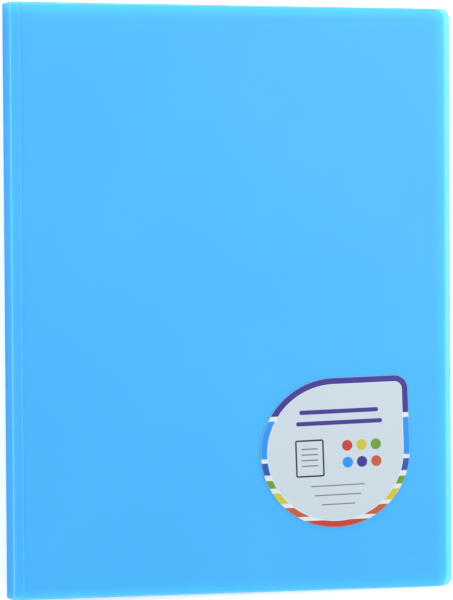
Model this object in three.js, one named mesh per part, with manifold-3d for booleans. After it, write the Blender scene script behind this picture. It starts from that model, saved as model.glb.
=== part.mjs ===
// A4 display book: a soft cover of translucent polypropylene sheet, creased into five panels,
// with twenty clear pockets whose bound edges are melted into a strip inside the spine.
// The book lies closed on its back cover. Millimetres, +Z up.
// +X runs from the spine to the fore-edge and +Y to the top of the book, where the pockets open.
// The origin is under the middle of the book, on the surface that it lies on.

import * as THREE from 'three';
import { mergeVertices } from 'three/addons/utils/BufferGeometryUtils.js';
import Module from 'manifold-3d';

const wasm = await Module();
wasm.setup();

// Cover sheet
const bookHeight = 310;
const coverWidth = 240;       // from the spine fold to the fore-edge
const bandWidth = 5.3;        // strip between the spine fold and the second crease
const spineWidth = 14;        // outside, from fold to fold
const sheet = 0.7;            // thickness of the polypropylene
const foreCorner = 5;         // radius of the two corners at the fore-edge
const spineLean = 1.5;        // how far the front fold lies beyond the back fold
const foreThickness = 5.6;    // closed book at the fore-edge
const hingeGap = 0.3;         // left between two panels where the sheet is thinned to a film
const grooveDepth = 0.35;     // of the V pressed into the outside along the second crease

// Binding strip
const seat = 0.15;            // between pieces that lie on each other
const stripBase = 0.8;
const stripMargin = 0.08;     // base beyond the first and last bead
const beadHeight = 0.6;
const beadWidth = 0.34;

// Pockets
const pocketCount = 20;
const pocketPitch = 0.6;      // along the spine
const pocketWidth = 231;
const pocketHeight = 304;
const pocketFoot = 2.6;       // bottom of the pockets above the bottom of the cover
const film = 0.05;
const pocketSlit = 0.03;      // between the two films of an empty pocket
const hingeStart = 0.35;      // from the bead to the films
const pocketCorner = 3;
const mouthStep = 2;          // the front film ends this far below the rear one
const mouthRelief = 6;        // corner cut off the front film beside the binding
const foreClear = 0.25;       // between the covers and the outermost pockets at the fore-edge

// Label
const labelAcross = 41;       // half of the label's width
const labelUp = 39.8;         // half of its height
const labelCorner = 7.5;      // radius of its one square corner
const labelSheet = 0.1;
const labelFromFore = 65.5;   // centre of the label from the fore-edge
const labelFromFoot = 73.1;   // centre of the label from the bottom of the cover
const labelTurn = 1.75;       // degrees, anticlockwise seen from above

const arcSteps = 8;
const labelSteps = 30;
const degree = Math.PI / 180;

// Angles of the closed book, from +X towards +Z.
const spineAngle = Math.acos(spineLean / spineWidth);
const spineRise = spineWidth * Math.sin(spineAngle);
const coverSlope = Math.asin((spineRise - foreThickness) / coverWidth);
const bookWidth = spineLean + coverWidth * Math.cos(coverSlope);

const blue = (name) => new THREE.MeshStandardMaterial({ name, color: 0x58c3fd, roughness: 0.45 });
const coverBlue = blue('cover_sheet');
const stripBlue = blue('binding_strip');
const clearFilm = new THREE.MeshStandardMaterial({
  name: 'pocket_film', color: 0xe6eef2, roughness: 0.25,
});
const labelPaper = new THREE.MeshStandardMaterial({
  name: 'label', color: 0xd2e1eb, roughness: 0.35,
});

function named(name, geometry, material) {
  const mesh = new THREE.Mesh(geometry, material);
  mesh.name = name;
  return mesh;
}

// A group whose X axis points along an angle measured from its parent's +X towards +Z.
function turned(name, x, z, angle) {
  const group = new THREE.Group();
  group.name = name;
  group.position.set(x, 0, z);
  group.rotation.y = -angle;
  return group;
}

// A cross-section in X and Z, drawn out along the height of the book and centred on it.
function drawnOut(points, length) {
  const section = new THREE.Shape(points.map(([x, z]) => new THREE.Vector2(x, z)));
  const geometry = new THREE.ExtrudeGeometry(section, { depth: length, bevelEnabled: false });
  return geometry.rotateX(Math.PI / 2).translate(0, length / 2, 0);
}

// A flat plate from an outline in X and Y, from height z up.
function plate(outline, thickness, z, steps = arcSteps) {
  const settings = { depth: thickness, bevelEnabled: false, curveSegments: steps };
  return new THREE.ExtrudeGeometry(outline, settings).translate(0, 0, z);
}

function solid(geometry) {
  const bare = geometry.clone();
  bare.deleteAttribute('normal');
  bare.deleteAttribute('uv');
  const merged = mergeVertices(bare);
  return new wasm.Manifold(new wasm.Mesh({
    numProp: 3,
    vertProperties: new Float32Array(merged.attributes.position.array),
    triVerts: new Uint32Array(merged.index.array),
  }));
}

function shared(first, second) {
  const mesh = solid(first).intersect(solid(second)).getMesh();
  const geometry = new THREE.BufferGeometry();
  geometry.setAttribute('position', new THREE.BufferAttribute(mesh.vertProperties, 3));
  geometry.setIndex(new THREE.BufferAttribute(mesh.triVerts, 1));
  geometry.computeVertexNormals();
  return geometry;
}

// The edges of a panel as [x, z] points from its outer face, at z = 0, to its inner face.
// x is counted from the hinge line into the panel.
const freeEdge = () => [[0, 0], [0, -sheet]];

// Mitred, so that two panels meet when the sheet is turned inwards by this angle.
function foldEdge(turn) {
  const outer = hingeGap / 2 / Math.cos(turn / 2);
  return [[outer, 0], [outer + sheet * Math.tan(turn / 2), -sheet]];
}

// Square below, with half of the V groove above.
function creaseEdge() {
  const wall = hingeGap / 2;
  return [[wall + grooveDepth, 0], [wall, -grooveDepth], [wall, -sheet]];
}

// One panel of the cover sheet, from x = 0 to its width, inner side at -Z.
function panelSection(width, startEdge, endEdge) {
  const end = endEdge.map(([x, z]) => [width - x, z]);
  return [...startEdge, ...end.reverse()];
}

// Outline of a cover panel whose two corners at the end x = far are rounded.
function coverOutline(far, near) {
  const side = Math.sign(far - near);
  const half = bookHeight / 2;
  const inset = far - side * foreCorner;
  const outline = new THREE.Shape();
  outline.moveTo(near, -half);
  outline.lineTo(inset, -half);
  const centre = half - foreCorner;
  if (side > 0) {
    outline.absarc(inset, -centre, foreCorner, -Math.PI / 2, 0, false);
    outline.absarc(inset, centre, foreCorner, 0, Math.PI / 2, false);
  } else {
    outline.absarc(inset, -centre, foreCorner, -Math.PI / 2, -Math.PI, true);
    outline.absarc(inset, centre, foreCorner, Math.PI, Math.PI / 2, true);
  }
  outline.lineTo(near, half);
  outline.closePath();
  return outline;
}

function coverPanel(section, far, near) {
  const blank = plate(coverOutline(far, near), 3 * sheet, -2 * sheet);
  return shared(drawnOut(section, bookHeight), blank);
}

// Base with one round-topped bead for each pocket, inner side at -Z.
function stripGeometry() {
  const stack = (pocketCount - 1) * pocketPitch;
  const halfBase = stack / 2 + beadWidth / 2 + stripMargin;
  const crown = beadWidth / 2;
  const root = -stripBase;
  const points = [[-halfBase, 0], [-halfBase, root]];
  for (let i = 0; i < pocketCount; i += 1) {
    const middle = i * pocketPitch - stack / 2;
    points.push([middle - crown, root]);
    for (let step = 0; step <= arcSteps; step += 1) {
      const around = Math.PI * step / arcSteps;
      const x = middle - crown * Math.cos(around);
      points.push([x, root - beadHeight + crown - crown * Math.sin(around)]);
    }
    points.push([middle + crown, root]);
  }
  points.push([halfBase, root], [halfBase, 0]);
  return drawnOut(points.reverse(), pocketHeight);
}

// One film of a pocket. The corner beside the binding may be cut off at the mouth.
function filmOutline(top, relief) {
  const foot = -bookHeight / 2 + pocketFoot;
  const near = hingeStart;
  const far = hingeStart + pocketWidth;
  const outline = new THREE.Shape();
  outline.moveTo(near, foot);
  outline.lineTo(far - pocketCorner, foot);
  outline.absarc(far - pocketCorner, foot + pocketCorner, pocketCorner, -Math.PI / 2, 0, false);
  outline.absarc(far - pocketCorner, top - pocketCorner, pocketCorner, 0, Math.PI / 2, false);
  if (relief > 0) {
    outline.lineTo(near + relief, top);
    outline.lineTo(near, top - relief);
  } else {
    outline.lineTo(near, top);
  }
  outline.closePath();
  return outline;
}

// A disc, a little wider than tall, with one corner filled out to a rounded square.
function labelOutline() {
  const outline = new THREE.Shape();
  outline.moveTo(0, labelUp);
  outline.absellipse(0, 0, labelAcross, labelUp, Math.PI / 2, 2 * Math.PI, false, 0);
  const cornerX = labelAcross - labelCorner;
  const cornerY = labelUp - labelCorner;
  outline.absarc(cornerX, cornerY, labelCorner, 0, Math.PI / 2, false);
  outline.closePath();
  return outline;
}

// Where a pocket stands in the closed stack, counted from the front cover.
function pocketPlace(index) {
  const up = spineWidth / 2 + ((pocketCount - 1) / 2 - index) * pocketPitch;
  const inward = sheet + seat + stripBase + beadHeight;
  const height = up * Math.sin(spineAngle) - inward * Math.cos(spineAngle);
  const across = up * Math.cos(spineAngle) + inward * Math.sin(spineAngle);
  const coverInside = spineRise - sheet / Math.cos(coverSlope)
    - (across + pocketWidth - spineLean) * Math.tan(coverSlope);
  const thick = film + pocketSlit / 2;
  const highest = coverInside - foreClear - thick;
  const lowest = sheet + foreClear + thick;
  const share = index / (pocketCount - 1);
  const foreHeight = highest + (lowest - highest) * share;
  const angle = Math.asin((foreHeight - height) / (hingeStart + pocketWidth));
  return { up, inward, angle };
}

function pocket(index) {
  const number = String(index + 1).padStart(2, '0');
  const place = pocketPlace(index);
  const group = turned(`pocket_${number}_hinge`, place.up, -place.inward, place.angle - spineAngle);
  const top = -bookHeight / 2 + pocketFoot + pocketHeight;
  const front = plate(filmOutline(top - mouthStep, mouthRelief), film, pocketSlit / 2);
  const rear = plate(filmOutline(top, 0), film, -pocketSlit / 2 - film);
  group.add(named(`pocket_${number}_front_film`, front, clearFilm));
  group.add(named(`pocket_${number}_rear_film`, rear, clearFilm));
  return group;
}

function frontCover() {
  const group = turned('front_crease', bandWidth, 0, 0);
  const width = coverWidth - bandWidth;
  const section = panelSection(width, creaseEdge(), freeEdge());
  group.add(named('front_cover', coverPanel(section, width, 0), coverBlue));
  const paper = plate(labelOutline(), labelSheet, seat, labelSteps);
  const label = named('label_sticker', paper, labelPaper);
  label.position.set(width - labelFromFore, -bookHeight / 2 + labelFromFoot, 0);
  label.rotation.z = labelTurn * degree;
  group.add(label);
  return group;
}

function frontBand() {
  const turn = spineAngle + coverSlope;
  const group = turned('front_fold', spineWidth, 0, -turn);
  const section = panelSection(bandWidth, foldEdge(turn), creaseEdge());
  group.add(named('front_hinge_band', drawnOut(section, bookHeight), coverBlue));
  group.add(frontCover());
  return group;
}

function spine() {
  const group = turned('back_fold', bandWidth, 0, spineAngle - Math.PI);
  const backTurn = Math.PI - spineAngle;
  const frontTurn = spineAngle + coverSlope;
  const section = panelSection(spineWidth, foldEdge(backTurn), foldEdge(frontTurn));
  group.add(named('spine_panel', drawnOut(section, bookHeight), coverBlue));
  const strip = named('binding_strip', stripGeometry(), stripBlue);
  const middle = -bookHeight / 2 + pocketFoot + pocketHeight / 2;
  strip.position.set(spineWidth / 2, middle, -sheet - seat);
  group.add(strip);
  for (let i = 0; i < pocketCount; i += 1) {
    group.add(pocket(i));
  }
  group.add(frontBand());
  return group;
}

function backBand() {
  const group = turned('back_crease', coverWidth - bandWidth, 0, 0);
  const section = panelSection(bandWidth, creaseEdge(), foldEdge(Math.PI - spineAngle));
  group.add(named('back_hinge_band', drawnOut(section, bookHeight), coverBlue));
  group.add(spine());
  return group;
}

// The sheet is followed from the back cover's fore-edge round the spine to the front cover's.
function displayBook() {
  const book = new THREE.Group();
  book.name = 'display_book';
  const cover = turned('back_cover_frame', coverWidth - bookWidth / 2, 0, Math.PI);
  const width = coverWidth - bandWidth;
  const section = panelSection(width, freeEdge(), creaseEdge());
  cover.add(named('back_cover', coverPanel(section, 0, width), coverBlue));
  cover.add(backBand());
  book.add(cover);
  return book;
}

export default displayBook();
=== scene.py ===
"""A4 display book: a soft cover of translucent blue polypropylene, creased round a flat spine, with twenty
clear pockets melted into a binding strip and a round paper label. It lies closed on a white table."""
import math

import bpy
import numpy as np
from mathutils import Euler, Matrix, Vector


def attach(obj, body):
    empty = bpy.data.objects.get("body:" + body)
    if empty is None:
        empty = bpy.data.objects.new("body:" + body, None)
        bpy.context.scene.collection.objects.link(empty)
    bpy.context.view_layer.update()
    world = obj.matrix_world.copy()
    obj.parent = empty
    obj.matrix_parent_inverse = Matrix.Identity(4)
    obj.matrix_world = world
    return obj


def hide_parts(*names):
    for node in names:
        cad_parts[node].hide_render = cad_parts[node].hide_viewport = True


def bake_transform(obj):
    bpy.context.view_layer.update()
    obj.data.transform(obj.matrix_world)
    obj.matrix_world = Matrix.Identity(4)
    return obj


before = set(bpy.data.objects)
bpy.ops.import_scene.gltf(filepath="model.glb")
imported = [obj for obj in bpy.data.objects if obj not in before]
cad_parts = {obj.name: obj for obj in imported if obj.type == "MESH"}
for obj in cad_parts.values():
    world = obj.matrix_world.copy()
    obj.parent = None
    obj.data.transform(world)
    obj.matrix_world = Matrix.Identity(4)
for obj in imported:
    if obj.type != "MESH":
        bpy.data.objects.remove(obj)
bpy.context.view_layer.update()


# Table, light and camera
# The book was photographed from above and a little from its spine side, on plain white under soft light
# that comes from the top right and, weaker, from the left. The camera was fitted to its corners and creases.
MM = 0.001


def table_top():
    """A flat square just under the book, in metres."""
    half, under = 6.0, -0.00012
    corners = [(-half, -half, under), (half, -half, under), (half, half, under), (-half, half, under)]
    mesh = bpy.data.meshes.new("table_top")
    mesh.from_pydata(corners, [], [(0, 1, 2, 3)])
    top = bpy.data.objects.new("table_top", mesh)
    bpy.context.scene.collection.objects.link(top)
    white = bpy.data.materials.new("table_white")
    white.use_nodes = True
    shader = white.node_tree.nodes["Principled BSDF"]
    shader.inputs["Base Color"].default_value = (0.97, 0.97, 0.97, 1)
    shader.inputs["Roughness"].default_value = 0.9
    shader.inputs["Specular IOR Level"].default_value = 0.1
    mesh.materials.append(white)


def soft_light(name, place, side, power):
    """A square lamp that looks at the middle of the book. Metres and watts."""
    lamp = bpy.data.lights.new(name, "AREA")
    lamp.shape, lamp.size, lamp.size_y = "RECTANGLE", side, side
    lamp.energy = power
    held = bpy.data.objects.new(name, lamp)
    held.location = place
    held.rotation_euler = (-Vector(place)).to_track_quat("-Z", "Y").to_euler()
    bpy.context.scene.collection.objects.link(held)


table_top()
soft_light("key_light", place=(0.8, 0.5, 1.25), side=1.0, power=24)
soft_light("fill_light", place=(-1.2, 0.35, 0.9), side=1.4, power=12)

world = bpy.data.worlds.new("room")
world.use_nodes = True
world.node_tree.nodes["Background"].inputs["Color"].default_value = (1, 1, 1, 1)
world.node_tree.nodes["Background"].inputs["Strength"].default_value = 1.0
scene = bpy.context.scene
scene.world = world
scene.view_settings.view_transform = "Standard"
scene.view_settings.look = "None"
# The two covers and the twenty pockets of the closed book put 44 see-through faces in the way of the light
scene.cycles.transparent_max_bounces = 56
scene.cycles.max_bounces, scene.cycles.diffuse_bounces, scene.cycles.glossy_bounces = 6, 3, 2


def photo_camera():
    """The lens and the point that it looks straight at are in pixels of the photograph's frame. The place
    and the sensor, which is as high as the frame, are in millimetres. The camera is turned by roll, pitch
    and yaw, in that order."""
    frame_wide, frame_high, sensor = 453, 600, 24
    lens, straight_x, straight_y = 3144.7, 230.1, 348.5
    place = Vector((-387.2, 11.8, 1623.1))
    yaw, pitch, roll = (math.radians(v) for v in (-13.422, -1.298, -0.369))
    camera = bpy.data.cameras.new("camera")
    camera.sensor_fit, camera.sensor_height = "VERTICAL", sensor
    camera.lens = lens * sensor / frame_high
    camera.shift_x = (frame_wide / 2 - straight_x) / frame_high
    camera.shift_y = (straight_y - frame_high / 2) / frame_high
    camera.clip_start, camera.clip_end = 0.05, 50
    viewer = bpy.data.objects.new("camera", camera)
    turns = [Euler(v).to_matrix() for v in ((0, yaw, 0), (pitch, 0, 0), (0, 0, roll))]
    viewer.matrix_world = Matrix.Translation(place * MM) @ (turns[0] @ turns[1] @ turns[2]).to_4x4()
    scene.collection.objects.link(viewer)
    scene.camera = viewer


photo_camera()


# Cover sheet
# One die-cut sheet of 0.7 mm polypropylene, coloured through and lightly frosted, folded twice round the
# spine and scored once more on each side. The five panels between the lines are separate pieces here.
HEIGHT = 310.0      # of the book, from foot to head
WIDTH = 240.0       # from the spine fold to the fore-edge
BAND = 5.3          # strip between the spine fold and the score
SPINE = 14.0        # from fold to fold
SHEET = 0.7
CORNER = 5.0        # radius of the corners at the fore-edge
LEAN = 1.5          # how far the front fold lies beyond the back fold
FORE = 5.6          # thickness of the closed book at the fore-edge
GAP = 0.3           # between two panels, where the sheet is thinned to a film
GROOVE = 0.35       # depth of the score in the outer face
EASE = 0.16         # radius of the arrises of a cut edge
spine_angle = math.acos(LEAN / SPINE)
spine_rise = SPINE * math.sin(spine_angle)
slope = math.asin((spine_rise - FORE) / WIDTH)
half_width = (LEAN + WIDTH * math.cos(slope)) / 2


def placed(origin, angle, points):
    """Points x, y, z of a panel, x along it, y along the book and z out of its outer face, taken to the
    book's frame: turned by the angle from +X towards +Z and moved to the origin. They come in millimetres
    and leave in metres."""
    x, y, z = points[..., 0], points[..., 1], points[..., 2]
    c, s = math.cos(angle), math.sin(angle)
    return np.stack([origin[0] + c * x - s * z, y, origin[1] + s * x + c * z], -1) * MM


def along(origin, angle, reach):
    """The x and z of the point this far from the origin, in the direction of the angle."""
    return origin[0] + reach * math.cos(angle), origin[1] + reach * math.sin(angle)


foreedge_line = (WIDTH - half_width, 0.0)
back_crease = along(foreedge_line, math.pi, WIDTH - BAND)
back_fold = along(back_crease, math.pi, BAND)
front_fold = along(back_fold, spine_angle, SPINE)
front_crease = along(front_fold, -slope, BAND)


def add_piece(name, verts, faces, material, body):
    """A mesh object from arrays of corners, in metres, and of faces. Edges that turn by more than 30 degrees
    stay sharp. It rides on the body, unless that is None."""
    mesh = bpy.data.meshes.new(name)
    mesh.from_pydata(np.asarray(verts).reshape(-1, 3).tolist(), [], [list(map(int, f)) for f in faces])
    mesh.validate()
    mesh.shade_smooth()
    mesh.set_sharp_from_angle(angle=math.radians(30))
    obj = bpy.data.objects.new(name, mesh)
    bpy.context.scene.collection.objects.link(obj)
    mesh.materials.append(material)
    if body:
        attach(obj, body)
    return obj


def drawn_out(section, y):
    """A grid of points: a section of x, z repeated at each y along the book."""
    x = np.broadcast_to(section[None, :, 0], (len(y), len(section)))
    z = np.broadcast_to(section[None, :, 1], x.shape)
    return np.stack([x, np.broadcast_to(y[:, None], x.shape), z], -1)


def tube_faces(rows, around):
    """Quads between successive closed loops of a grid, with a flat cap on the first and the last loop."""
    r, c = np.meshgrid(np.arange(rows - 1), np.arange(around), indexing="ij")
    n = (c + 1) % around
    corners = [r * around + c, r * around + n, (r + 1) * around + n, (r + 1) * around + c]
    quads = np.stack(corners, -1).reshape(-1, 4)
    return [*quads, list(range(around))[::-1], list(range((rows - 1) * around, rows * around))]


# The colour sockets of a Mix node go by number, because their names repeat
COLOUR_A, COLOUR_B, MIXED = 6, 7, 2


def frosted_blue(name, body, tint, through, clear, lit=0.4, rough=0.3, grain=0.2):
    """Coloured polypropylene: part of the light passes straight with a tint, part is spread inside the
    sheet, and the face has clouds some 70 mm across and a frost of half a millimetre. body is the colour of
    the face, tint that of the light that passes straight, and through that of the spread light. clear is
    the share that passes straight, lit the share of the rest that is spread, and grain the strength of the
    frost."""
    mat = bpy.data.materials.new(name)
    mat.use_nodes = True
    n, link = mat.node_tree.nodes, mat.node_tree.links.new
    out, face = n["Material Output"], n["Principled BSDF"]
    face.inputs["Roughness"].default_value = rough
    face.inputs["IOR"].default_value = 1.49
    where = n.new("ShaderNodeTexCoord")
    cloud = n.new("ShaderNodeTexNoise")
    cloud.inputs["Scale"].default_value, cloud.inputs["Detail"].default_value = 14, 2
    link(where.outputs["Object"], cloud.inputs["Vector"])
    shade = n.new("ShaderNodeMix")
    shade.data_type = "RGBA"
    darker, lighter = 0.93, 1.07
    shade.inputs[COLOUR_A].default_value = (*[darker * v for v in body], 1)
    shade.inputs[COLOUR_B].default_value = (*[min(1, lighter * v) for v in body], 1)
    link(cloud.outputs["Fac"], shade.inputs["Factor"])
    link(shade.outputs[MIXED], face.inputs["Base Color"])
    frost = n.new("ShaderNodeTexNoise")
    frost.inputs["Scale"].default_value, frost.inputs["Detail"].default_value = 1900, 3
    link(where.outputs["Object"], frost.inputs["Vector"])
    bump = n.new("ShaderNodeBump")
    bump.inputs["Strength"].default_value, bump.inputs["Distance"].default_value = grain, 0.00004
    link(frost.outputs["Fac"], bump.inputs["Height"])
    link(bump.outputs["Normal"], face.inputs["Normal"])
    glow = n.new("ShaderNodeBsdfTranslucent")
    glow.inputs["Color"].default_value = (*through, 1)
    link(bump.outputs["Normal"], glow.inputs["Normal"])
    spread = n.new("ShaderNodeMixShader")
    spread.inputs["Fac"].default_value = lit
    link(face.outputs[0], spread.inputs[1])
    link(glow.outputs[0], spread.inputs[2])
    straight = n.new("ShaderNodeBsdfTransparent")
    straight.inputs["Color"].default_value = (*tint, 1)
    both = n.new("ShaderNodeMixShader")
    both.inputs["Fac"].default_value = clear
    link(spread.outputs[0], both.inputs[1])
    link(straight.outputs[0], both.inputs[2])
    link(both.outputs[0], out.inputs["Surface"])
    return mat


cover_blue = frosted_blue("cover_sheet", body=(0.08, 0.515, 0.97), tint=(0.655, 0.905, 1.0),
                          through=(0.12, 0.73, 1.0), clear=0.47, rough=0.42, grain=0.5)
# Cut edges: a darker blue, painted shade for the light that runs along inside the sheet
cut_edge_shade_blue = frosted_blue("cover_cut_edge_painted_shade", body=(0.03, 0.30, 0.78), tint=(0.45, 0.78, 0.95),
                        through=(0.06, 0.50, 0.90), clear=0.3)


def free_edge():
    """A quarter circle at the outer and at the inner arris of a cut edge."""
    a = np.radians(np.linspace(0, 90, 5))
    outer = np.stack([EASE - EASE * np.sin(a), -EASE + EASE * np.cos(a)], -1)
    inner = np.stack([EASE - EASE * np.cos(a), -SHEET + EASE - EASE * np.sin(a)], -1)
    return np.concatenate([outer, inner])


def score_edge():
    """From the outer face down a rounded shoulder into the pressed groove, then straight to the inner
    face."""
    a = np.radians(np.linspace(0, 45, 4))
    wall, radius, reach, lip, bevel = GAP / 2, 0.3, 0.12, 0.02, 0.05
    shoulder = np.stack([wall + GROOVE + reach - radius * np.sin(a), -radius + radius * np.cos(a)], -1)
    inside = [[wall, -GROOVE - lip], [wall, -SHEET + bevel], [wall + bevel, -SHEET]]
    return np.concatenate([shoulder, inside])


def mitre_edge(bend):
    """The edge beside a fold: mitred, so that two panels meet when the sheet bends by this angle."""
    start, lip = GAP / 2 / math.cos(bend / 2), (0.02, -0.03)
    return np.array([[start, 0], [start + lip[0], lip[1]], [start + SHEET * math.tan(bend / 2), -SHEET]])


def panel(name, origin, angle, width, near, far, body, node, corners=None, lift=None):
    """One panel as a closed shell. Its cross-section runs over the outer face, round the far edge, back
    under the inner face and round the near edge, and is carried along the book. Towards the two ends the
    section shrinks on a quarter circle, so that the cut ends are eased. corners is near or far for the side
    whose two corners are rounded, by a circle in plan. lift(x, y) raises both faces. The cut edges are
    painted darker than the faces, as painted shade for the light that runs along inside the sheet."""
    outer, inner, far_side, near_side = 0, 1, 2, 3
    across = np.linspace(0, 1, 49 if width > SPINE else 5)
    flat = np.zeros(len(across))
    kind, u, depth = np.concatenate([
        np.stack([flat + outer, across, flat], -1),
        np.stack([np.full(len(far), far_side), far[:, 0], far[:, 1]], -1)[1:-1],
        np.stack([flat + inner, across[::-1], flat], -1),
        np.stack([np.full(len(near), near_side), near[:, 0], near[:, 1]], -1)[1:-1][::-1]]).T

    half = HEIGHT / 2
    ease = np.radians(np.linspace(90, 0, 4))
    ends = half - CORNER + CORNER * np.cos(np.radians(np.linspace(8, 90, 12)))
    middle = np.linspace(half - CORNER, 0, 13)[1:]
    steps = np.concatenate([half - EASE + EASE * np.sin(ease), ends[ends < half - EASE], middle])
    y = np.concatenate([-steps, steps[::-1][1:]])
    rim = np.clip((np.abs(y) - half + EASE) / EASE, 0, 1)
    shrink = EASE * (1 - np.sqrt(1 - rim ** 2))[:, None]
    hair = 1e-6
    into = np.clip(np.abs(y) - (half - CORNER), 0, CORNER - hair)
    cut = (CORNER - np.sqrt(CORNER ** 2 - into ** 2))[:, None]
    near_cut, far_cut = cut * (corners == "near"), cut * (corners == "far")

    start, stop = near[0, 0] + near_cut, width - far[0, 0] - far_cut
    inner_start, inner_stop = near[-1, 0] + near_cut, width - far[-1, 0] - far_cut
    x = np.select(
        [kind == outer, kind == inner, kind == far_side],
        [start + (stop - start) * u, inner_start + (inner_stop - inner_start) * u, width - u - far_cut],
        u + near_cut)
    z = np.select([kind == outer, kind == inner], [0.0, -SHEET], depth)
    z = -SHEET / 2 + (z + SHEET / 2) * (1 - shrink / (SHEET / 2))
    Y = np.broadcast_to(y[:, None], x.shape)
    if lift:
        z = z + lift(x, Y)
    faces = tube_faces(len(y), len(u))
    obj = add_piece(name, placed(origin, angle, np.stack([x, Y, z], -1)), faces, cover_blue, body)

    # The faces of the free cut edges and of the eased ends take the darker material, which is painted shade
    free = (kind == near_side) & (corners == "near") | (kind == far_side) & (corners == "far")
    beside, end = free | np.roll(free, -1), (rim[:-1] > 0) | (rim[1:] > 0)
    caps = [True, True]
    shaded_faces = np.append((beside[None, :] | end[:, None]).ravel(), caps)
    obj.data.materials.append(cut_edge_shade_blue)
    obj.data.polygons.foreach_set("material_index", shaded_faces.astype(np.int32))
    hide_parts(node)


def resting(x, y):
    """The front cover lies a little uneven: its two corners at the fore-edge stand up by half a millimetre,
    with the third power of the way across and the fourth power of the way to the foot or the head."""
    reach = np.clip(x / (WIDTH - BAND), 0, 1)
    return 0.5 * reach ** 3 * (np.abs(y) / (HEIGHT / 2)) ** 4


spine_bend, cover_bend = math.pi - spine_angle, spine_angle + slope
panel("back_cover_sheet", foreedge_line, math.pi, WIDTH - BAND, free_edge(), score_edge(),
      "back_cover", "back_cover", corners="near")
panel("back_band_sheet", back_crease, math.pi, BAND, score_edge(), mitre_edge(spine_bend),
      "back_cover", "back_hinge_band")
panel("spine_sheet", back_fold, spine_angle, SPINE, mitre_edge(spine_bend), mitre_edge(cover_bend),
      "spine", "spine_panel")
panel("front_band_sheet", front_fold, -slope, BAND, mitre_edge(cover_bend), score_edge(),
      "front_hinge_band", "front_hinge_band")
panel("front_cover_sheet", front_crease, -slope, WIDTH - BAND, score_edge(), free_edge(),
      "front_cover", "front_cover", corners="far", lift=resting)


# Fold and score lines
# Where the sheet is folded or scored it is pressed thin and stretched, so it turns paler, and its paler
# colour also holds a painted highlight along the line. Each line is a strip of film: round the outside at
# the two folds, under the groove at the two scores. The back score line rides on the back cover and the
# other three on no body.
FOLD_FILM = 0.3
SCORE_FILM = 0.2
LINE_INSET = 0.2    # of both ends of a line from the ends of the sheet
# Paler blue of the lines: partly the thinned sheet's own colour, partly a painted highlight
pressed_and_highlight_blue = frosted_blue("pressed_line_painted_highlight", body=(0.22, 0.69, 1.0), tint=(0.68, 0.96, 1.0),
                            through=(0.43, 0.90, 1.0), clear=0.3, lit=0.45)


def line_strip(name, origin, path, thick, angle, bodies, bend_ends=None):
    """A strip of constant thickness along a path of x, z in the frame of one panel, drawn out along the
    book. Its section goes along the path, and back along the same path moved by the thickness against its
    normal. A strip with bend_ends rides on no body and stays where it is drawn, and the x, z of its
    bend_ends are not used. Any other strip rides on the first of its bodies."""
    path = np.asarray(path, float)
    step = np.gradient(path, axis=0)
    step /= np.linalg.norm(step, axis=1)[:, None]
    under = path - thick * np.stack([-step[:, 1], step[:, 0]], -1)
    loop = np.concatenate([path, under[::-1]])
    half = HEIGHT / 2 - LINE_INSET
    y = np.linspace(-half, half, 33)
    verts, faces = placed(origin, angle, drawn_out(loop, y)), tube_faces(len(y), len(loop))
    obj = add_piece(name, verts, faces, pressed_and_highlight_blue, None if bend_ends else bodies[0])
    if bend_ends:
        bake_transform(obj)


def fold_path(bend):
    """Round the outside of a fold, in the frame of the panel after it: in from the panel before, whose
    outer face falls away by the bend, over an arc, and out along the outer face of this panel."""
    arm, radius, proud = 0.15, 0.36, 0.012
    back = np.array([-math.cos(bend), -math.sin(bend)])
    tangent = radius * math.tan(bend / 2)
    turned = np.linspace(bend, 0, 9)
    arc = np.array([tangent, proud - radius]) + radius * np.stack([-np.sin(turned), np.cos(turned)], -1)
    return np.concatenate([[arc[0] + back * arm], arc, [[tangent + arm, proud]]])


score_path = [(-0.45, -0.46), (-0.15, -0.45), (0, -0.44), (0.15, -0.45), (0.45, -0.46)]
fold_ends, score_ends = [(-0.12, -0.12), (0.12, 0.0)], [(-0.16, 0), (0.16, 0)]
line_strip("back_score_line", back_crease, score_path, SCORE_FILM, math.pi, ["back_cover"])
line_strip("back_fold_line", back_fold, fold_path(spine_bend), FOLD_FILM, spine_angle,
           ["back_cover", "spine"], fold_ends)
line_strip("front_fold_line", front_fold, fold_path(cover_bend), FOLD_FILM, -slope,
           ["spine", "front_hinge_band"], fold_ends)
line_strip("front_score_line", front_crease, score_path, SCORE_FILM, -slope,
           ["front_hinge_band", "front_cover"], score_ends)


# Binding strip
# A moulded strip of the same blue plastic inside the spine, with a bead for each pocket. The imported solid
# has its shape, so it only gets its finish, which is glossier than the sheet's and has less frost.
strip_blue = frosted_blue("binding_strip", body=(0.10, 0.60, 0.98), tint=(0.5, 0.85, 1.0),
                          through=(0.20, 0.70, 1.0), clear=0.15, lit=0.3, rough=0.28, grain=0.25)
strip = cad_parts["binding_strip"]
strip.data.materials.clear()
strip.data.materials.append(strip_blue)


# Pockets
# Each pocket is two clear films, open at the top, welded to each other along the foot and the fore-edge and
# melted into its bead at the spine.
POCKETS = 20
PITCH = 0.6         # along the spine
REACH = 231.0       # from the binding to the fore-edge
TALL = 304.0
FOOT = 2.6          # bottom of the pockets above the bottom of the cover
FILM = 0.05
SLIT = 0.03         # between the two films of an empty pocket
START = 0.35        # from the bead to the films
ROUND = 3.0         # radius of the far corners
STEP = 2.0          # the front film ends this far below the rear one
RELIEF = 6.0        # corner cut off the front film beside the binding
SEAT = 0.15         # between pieces that lie on each other
STRIP = 0.8         # thickness of the binding strip under its beads
BEAD = 0.6          # height of a bead
FORE_CLEAR = 0.25   # between the covers and the outermost pockets at the fore-edge
foot = -HEIGHT / 2 + FOOT
top = foot + TALL
mouth = top - STEP


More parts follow.
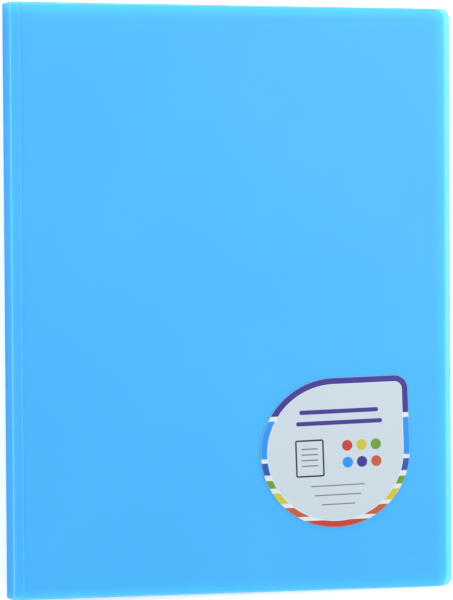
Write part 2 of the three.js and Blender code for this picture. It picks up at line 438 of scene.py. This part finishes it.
def clear_film(name, haze, rough, colour):
    """Clear film: mostly seen through, with a thin haze and a gloss that grow towards grazing angles, up to
    six times as strong."""
    mat = bpy.data.materials.new(name)
    mat.use_nodes = True
    n, link = mat.node_tree.nodes, mat.node_tree.links.new
    out, face = n["Material Output"], n["Principled BSDF"]
    face.inputs["Base Color"].default_value = (*colour, 1)
    face.inputs["Roughness"].default_value = rough
    edge = n.new("ShaderNodeLayerWeight")
    edge.inputs["Blend"].default_value = 0.25
    amount = n.new("ShaderNodeMapRange")
    amount.inputs["To Min"].default_value, amount.inputs["To Max"].default_value = haze, min(1, haze * 6)
    link(edge.outputs["Facing"], amount.inputs["Value"])
    seen = n.new("ShaderNodeBsdfTransparent")
    seen.inputs["Color"].default_value = (0.99, 0.995, 1.0, 1)
    both = n.new("ShaderNodeMixShader")
    link(amount.outputs["Result"], both.inputs["Fac"])
    link(seen.outputs[0], both.inputs[1])
    link(face.outputs[0], both.inputs[2])
    link(both.outputs[0], out.inputs["Surface"])
    return mat


film_clear = clear_film("pocket_film", haze=0.07, rough=0.2, colour=(0.46, 0.50, 0.53))
weld_clear = clear_film("pocket_weld", haze=0.25, rough=0.35, colour=(0.36, 0.40, 0.43))


def pocket_line(i):
    """Hinge line and slope of pocket i of the closed stack, counted from the front cover. The hinge lines
    stand along the tops of the beads, and the far ends share the height between the covers evenly."""
    up = SPINE / 2 + ((POCKETS - 1) / 2 - i) * PITCH
    inward = SHEET + SEAT + STRIP + BEAD
    c, s = math.cos(spine_angle), math.sin(spine_angle)
    height, over = up * s - inward * c, up * c + inward * s
    inside = spine_rise - SHEET / math.cos(slope) - (over + REACH - LEAN) * math.tan(slope)
    thick = FILM + SLIT / 2
    high, low = inside - FORE_CLEAR - thick, SHEET + FORE_CLEAR + thick
    fore = high + (low - high) * i / (POCKETS - 1)
    return (back_fold[0] + over, height), math.asin((fore - height) / (START + REACH))


def ripple(x, y):
    """All pockets lie in the same shallow waves, so that they nest: a sine across the pocket, which sways
    along the book, times a sine along the book. The waves grow from nothing at the binding."""
    high, across, lengthways, growth = 0.1, 61, 97, 40
    sway_length, sway, phase = 210, 0.3, 0.6
    away = np.clip(x / growth, 0, 1)
    wave = np.sin(2 * np.pi * (x / across + sway * np.sin(2 * np.pi * y / sway_length)))
    return high * away * wave * np.cos(2 * np.pi * y / lengthways + phase)


def sleeve(number, origin, angle):
    """The two films as one closed thin shell: a grid across and up the pocket, seen from the front and back
    again from the rear. Above the mouth and over the cut corner beside the binding the front film is
    missing, so there the front face drops to the rear film. The far corners are quarter circles. Rows close
    above the mouth draw its step, and rows and columns a millimetre apart draw the cut corner."""
    bend = ROUND * (1 - np.cos(np.radians(np.linspace(10, 90, 5))))
    low_rows, high_rows = foot + bend - bend[0], top - bend[::-1] + bend[0]
    plain_rows = np.linspace(foot + ROUND, mouth - RELIEF, 12)[1:]
    corner_rows = mouth - RELIEF + np.arange(1, RELIEF + 1)
    step_rows = [mouth + 0.05, mouth + 0.6]
    rows = np.concatenate([low_rows, plain_rows, corner_rows, step_rows, high_rows])
    y = np.unique(np.round(rows, 4))
    x = np.concatenate([np.arange(0, RELIEF + 1), np.linspace(RELIEF, REACH, 17)[1:]])
    into = np.clip(np.maximum(foot + ROUND - y, y - (top - ROUND)), 0, ROUND)
    far = REACH - ROUND + np.sqrt(ROUND ** 2 - into ** 2)
    X = x[None, :] * np.where(x[None, :] > RELIEF, far[:, None] / REACH, 1)
    Y = np.broadcast_to(y[:, None], X.shape)
    half, hair = FILM + SLIT / 2, 0.01
    bare = (Y > mouth + hair) | (X < Y - (mouth - RELIEF) - hair)
    front = np.where(bare, FILM - half, half)
    w = ripple(X, Y)
    face = np.stack([START + X, Y, front + w], -1)
    back = np.stack([START + X, Y, w - half], -1)[:, ::-1]
    grid = np.concatenate([face, back], 1)
    faces = tube_faces(*grid.shape[:2])
    obj = add_piece(f"{number}_sleeve", placed(origin, angle, grid), faces, film_clear, number)
    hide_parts(f"{number}_front_film", f"{number}_rear_film")


def weld(number, origin, angle):
    """A flat ribbon along the foot, round the corner and up the fore-edge: its path is two straights and a
    quarter circle, its section a thin rectangle with its sides along and across the pocket."""
    inset, wide, swell, from_bead, below_mouth = 0.9, 1.2, 0.016, 1, 0.3
    thick = 2 * FILM + SLIT + swell
    low, far, high = foot + inset, START + REACH - inset, mouth - below_mouth
    r = ROUND - inset
    run, rise = np.linspace(START + from_bead, far - r, 9)[:-1], np.linspace(low + r, high, 11)[1:]
    a = np.radians(np.linspace(-90, 0, 9))
    path = np.concatenate([
        np.stack([run, np.full(len(run), low)], -1),
        np.stack([far - r + r * np.cos(a), low + r + r * np.sin(a)], -1),
        np.stack([np.full(len(rise), far), rise], -1)])
    step = np.gradient(path, axis=0)
    step /= np.linalg.norm(step, axis=1)[:, None]
    side = np.stack([-step[:, 1], step[:, 0]], -1)
    loop = np.array([[1, 1], [-1, 1], [-1, -1], [1, -1]]) * [wide / 2, thick / 2]
    flat = path[:, None, :] + side[:, None, :] * loop[None, :, :1]
    grid = np.concatenate([flat, np.broadcast_to(loop[None, :, 1:], flat[..., :1].shape)], -1)
    grid[..., 2] += ripple(grid[..., 0] - START, grid[..., 1])
    faces = tube_faces(len(path), len(loop))
    obj = add_piece(f"{number}_weld", placed(origin, angle, grid), faces, weld_clear, number)


def root(number, origin, angle):
    """The films between bead and pocket, drawn thin where they melt into the bead: a strip whose thickness
    grows away from the bead, laid along the page just beside it. It rides on no body."""
    bend_end, above_foot = 0.12, 0.2
    x = np.array([-bend_end, 0.0, 0.04, 0.08, bend_end, 0.35, 0.7])
    half = np.array([0.045, 0.045, 0.045, 0.045, 0.05, 0.066, 0.069])
    loop = np.concatenate([np.stack([x, half], -1), np.stack([x, -half], -1)[::-1]])
    y = np.linspace(foot + above_foot, mouth - RELIEF, 9)
    verts, faces = placed(origin, angle, drawn_out(loop, y)), tube_faces(len(y), len(loop))
    obj = add_piece(f"{number}_root", verts, faces, weld_clear, None)
    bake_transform(obj)


for i in range(POCKETS):
    hinge_line, page_slope = pocket_line(i)
    for make in (sleeve, weld, root):
        make(f"pocket_{i + 1:02d}", hinge_line, page_slope)


# Label
# A coated paper sticker: a disc, a little wider than tall, with one corner filled out to a rounded square.
# The rim is printed in colour blocks cut by level white gaps, the middle with a page sign, dots and lines.
LABEL_X = 41.5      # half of its width
LABEL_Y = 39.8      # half of its height
LABEL_CORNER = 7.5
LABEL_THICK = 0.1
FROM_FORE = 65.0    # middle of the label from the fore-edge
FROM_FOOT = 73.1    # middle of the label from the bottom of the cover
RIM = 3.2           # width of the colour blocks
BORDER = 0.1        # white outside them
label_middle = (WIDTH - BAND - FROM_FORE, -HEIGHT / 2 + FROM_FOOT)
label_turn = math.radians(1.75)


def label_outline(inset):
    """Three quarters of an ellipse, then straight to a corner of smaller radius and straight back. inset is
    taken off all round."""
    a = np.radians(np.linspace(90, 360, 128))
    b = np.radians(np.linspace(0, 90, 13))
    wide, tall, r = LABEL_X - inset, LABEL_Y - inset, LABEL_CORNER - inset
    disc = np.stack([wide * np.cos(a), tall * np.sin(a)], -1)
    return np.concatenate([disc, np.stack([wide - r + r * np.cos(b), tall - r + r * np.sin(b)], -1)])


def on_label(flat, z):
    """Points of the label's own plane, turned and moved to its place on the front cover."""
    c, s = math.cos(label_turn), math.sin(label_turn)
    x = label_middle[0] + c * flat[..., 0] - s * flat[..., 1]
    y = label_middle[1] + s * flat[..., 0] + c * flat[..., 1]
    return placed(front_crease, -slope, np.stack([x, y, np.broadcast_to(z, x.shape)], -1))


def label_print():
    """The printed face. Its sums use the label's own x and y in millimetres, which a Mapping node makes
    from Object coordinates."""
    mat = bpy.data.materials.new("label")
    mat.use_nodes = True
    n, link = mat.node_tree.nodes, mat.node_tree.links.new
    face = n["Principled BSDF"]
    face.inputs["Roughness"].default_value = 0.38
    face.inputs["Specular IOR Level"].default_value = 0.2
    where = n.new("ShaderNodeTexCoord")
    own = n.new("ShaderNodeMapping")
    own.vector_type = "TEXTURE"
    own.inputs["Location"].default_value = tuple(float(v) for v in on_label(np.zeros(2), 0.0))
    own.inputs["Rotation"].default_value = (0, slope, label_turn)
    own.inputs["Scale"].default_value = (MM, MM, MM)
    link(where.outputs["Object"], own.inputs["Vector"])
    split = n.new("ShaderNodeSeparateXYZ")
    link(own.outputs["Vector"], split.inputs["Vector"])
    X, Y = split.outputs["X"], split.outputs["Y"]

    def maths(kind, *values, clamp=False):
        """A Math node of this kind. Each value is a number or the output of another node."""
        node = n.new("ShaderNodeMath")
        node.operation, node.use_clamp = kind, clamp
        for socket, value in zip(node.inputs, values):
            if isinstance(value, (int, float)):
                socket.default_value = value
            else:
                link(value, socket)
        return node.outputs[0]

    def length(a, b):
        """The root of the sum of two squares."""
        return maths("SQRT", maths("ADD", maths("MULTIPLY", a, a), maths("MULTIPLY", b, b)))

    def box(middle_x, middle_y, half_x, half_y, r):
        """Distance to a rectangle with rounded corners, negative inside."""
        past_x = maths("SUBTRACT", maths("ABSOLUTE", maths("SUBTRACT", X, middle_x)), half_x - r)
        past_y = maths("SUBTRACT", maths("ABSOLUTE", maths("SUBTRACT", Y, middle_y)), half_y - r)
        outside = length(maths("MAXIMUM", past_x, 0.0), maths("MAXIMUM", past_y, 0.0))
        inside = maths("MINIMUM", maths("MAXIMUM", past_x, past_y), 0.0)
        return maths("SUBTRACT", maths("ADD", outside, inside), r)

    def dot(middle_x, middle_y, r):
        """Distance to a disc, negative inside."""
        return maths("SUBTRACT", length(maths("SUBTRACT", X, middle_x), maths("SUBTRACT", Y, middle_y)), r)

    def band(distance, half):
        """Distance to the band that reaches half to both sides of a line, negative inside."""
        return maths("SUBTRACT", maths("ABSOLUTE", distance), half)

    def inked(distance):
        """1 inside, 0 outside, with a soft edge of ink."""
        soft = 0.12
        return maths("ADD", maths("MULTIPLY", distance, -1 / soft), 0.5, clamp=True)

    def over(under, ink, amount):
        """The ink laid over what is under it, by this amount."""
        mix = n.new("ShaderNodeMix")
        mix.data_type = "RGBA"
        link(amount, mix.inputs["Factor"])
        for socket, value in ((mix.inputs[COLOUR_A], under), (mix.inputs[COLOUR_B], ink)):
            if isinstance(value, tuple):
                socket.default_value = (*value, 1)
            else:
                link(value, socket)
        return mix.outputs[MIXED]

    white, paper = (0.37, 0.42, 0.46), (0.31, 0.36, 0.40)
    dark, grey = (0.012, 0.012, 0.02), (0.10, 0.11, 0.13)
    violet, sky, blue = (0.021, 0.014, 0.15), (0.006, 0.155, 0.45), (0.002, 0.05, 0.225)
    green, yellow = (0.075, 0.175, 0.012), (0.32, 0.285, 0.02)
    orange, red = (0.285, 0.05, 0.022), (0.28, 0.022, 0.015)

    square = box(0.0, 0.0, LABEL_X, LABEL_Y, LABEL_CORNER)
    wheel = maths("SUBTRACT", length(maths("MULTIPLY", X, LABEL_Y / LABEL_X), Y), LABEL_Y)
    in_corner = maths("MULTIPLY", maths("GREATER_THAN", X, 0.0), maths("GREATER_THAN", Y, 0.0))
    in_wheel = maths("SUBTRACT", 1.0, in_corner)
    outline = maths("ADD", maths("MULTIPLY", square, in_corner), maths("MULTIPLY", wheel, in_wheel))
    rim_line = maths("ADD", outline, RIM / 2 + BORDER)

    # Each block of colour begins at its level and ends where the next begins. The levels are counted from
    # the middle of the label and fall a little to the right, and a white seam runs along the blocks.
    reach, tilt, seam = 41.0, 0.014, 0.4
    blocks = n.new("ShaderNodeValToRGB")
    starts = [(-reach, red), (-36.1, white), (-33.65, orange), (-28.7, white), (-26.35, yellow),
              (-20.75, white), (-18.2, green), (-13.8, white), (-11.0, blue), (-4.8, white), (-2.3, sky),
              (17.55, white), (19.95, violet)]
    ramp = blocks.color_ramp
    ramp.interpolation = "CONSTANT"
    while len(ramp.elements) < len(starts):
        ramp.elements.new(0.5)
    for element, (level, ink) in zip(ramp.elements, starts):
        element.position, element.color = (level + reach) / (2 * reach), (*ink, 1)
    tilted = maths("ADD", Y, maths("MULTIPLY", X, tilt))
    link(maths("DIVIDE", maths("ADD", tilted, reach), 2 * reach), blocks.inputs["Fac"])
    colour = over(paper, white, inked(band(rim_line, RIM / 2 + seam)))
    colour = over(colour, blocks.outputs["Color"], inked(band(rim_line, RIM / 2)))

    # Two bars, a page sign with four lines on it, two rows of dots and three ruled lines. Bars and ruled
    # lines are given by their level and half of their length.
    bar_x, bar_half, bar_round = 2.5, 1.15, 1.1
    for level, half in ((22.0, 22.0), (16.0, 24.0)):
        colour = over(colour, violet, inked(box(bar_x, level, half, bar_half, bar_round)))
    page_x, page_y, page_half_x, page_half_y, page_round, stroke = -14.5, -2.5, 7.5, 9.5, 0.8, 0.45
    page = box(page_x, page_y, page_half_x, page_half_y, page_round)
    colour = over(colour, dark, inked(band(page, stroke)))
    text_half_x, text_half_y, line_round = 4.6, 0.35, 0.3
    for level in (2.5, -0.5, -3.5, -6.5):
        colour = over(colour, grey, inked(box(page_x, level, text_half_x, text_half_y, line_round)))
    dot_radius = 2.9
    for level, inks in ((3.5, (red, yellow, green)), (-5.5, (sky, violet, orange))):
        for across, ink in zip((6.5, 14.5, 22.5), inks):
            colour = over(colour, ink, inked(dot(across, level, dot_radius)))
    rule_x, rule_half = 0.5, 0.32
    for level, half in ((-17.5, 15.0), (-22.5, 13.0), (-27.5, 9.5)):
        colour = over(colour, grey, inked(box(rule_x, level, half, rule_half, line_round)))
    link(colour, face.inputs["Base Color"])

    fibre = n.new("ShaderNodeTexNoise")
    fibre.inputs["Scale"].default_value = 900
    link(where.outputs["Object"], fibre.inputs["Vector"])
    bump = n.new("ShaderNodeBump")
    bump.inputs["Strength"].default_value, bump.inputs["Distance"].default_value = 0.15, 0.00003
    link(fibre.outputs["Fac"], bump.inputs["Height"])
    link(bump.outputs["Normal"], face.inputs["Normal"])
    return mat


def label():
    """Loops of the outline at three heights: at the foot, at seven tenths of the thickness, and at the top,
    which is a hair smaller. A flat face closes them above and below."""
    shoulder, hair = 0.7, 0.05
    levels = [(0.0, 0.0), (LABEL_THICK * shoulder, 0.0), (LABEL_THICK, hair)]
    grid = np.stack([on_label(label_outline(inset), SEAT + z) for z, inset in levels])
    faces = tube_faces(*grid.shape[:2])
    obj = add_piece("label_sheet", grid, faces, label_print(), "front_cover")
    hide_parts("label_sticker")


label()
